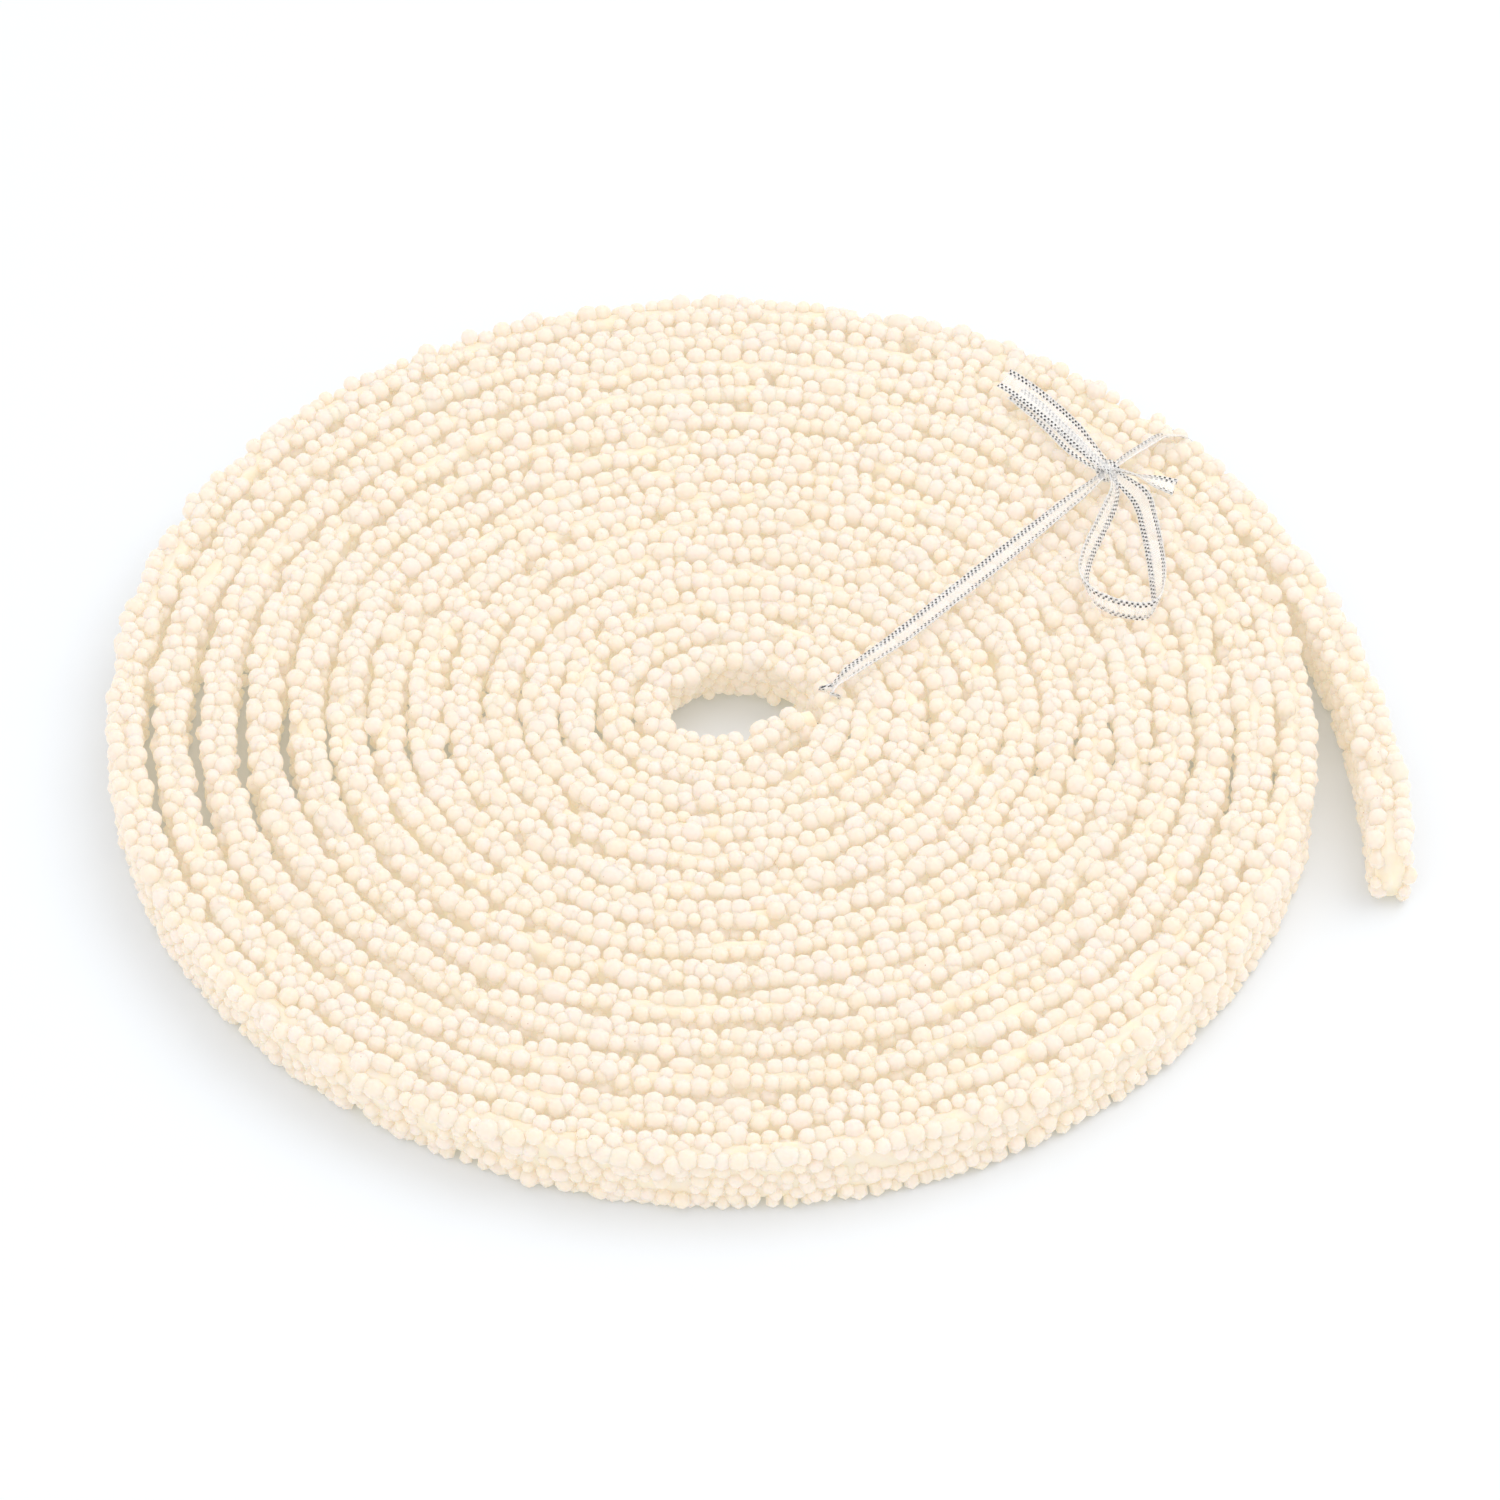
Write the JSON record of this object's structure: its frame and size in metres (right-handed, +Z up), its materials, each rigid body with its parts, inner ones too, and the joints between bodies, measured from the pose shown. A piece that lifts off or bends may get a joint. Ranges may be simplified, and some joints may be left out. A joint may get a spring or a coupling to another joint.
{
  "type": "bead garland",
  "caption": "Narrow bead-covered garland wound flat into a round coil on its edge, with a loose tail, tied through the middle with a thin ribbon bow.",
  "frame": {"origin": "middle of the bounding box, on the surface it lies on", "axes": "+Z up from the surface, +X along the longest side, towards the side where the loose tail leaves the coil"},
  "size_m": [0.1618, 0.1526, 0.0139],
  "materials": {
    "beads": "ivory beads set in pale translucent resin, softly glossy",
    "ribbon": "sheer white ribbon with a silver line along each edge"
  },
  "bodies": {
    "root": {"bead_band": "beads", "ribbon_tie": "ribbon"}
  },
  "joints": []
}
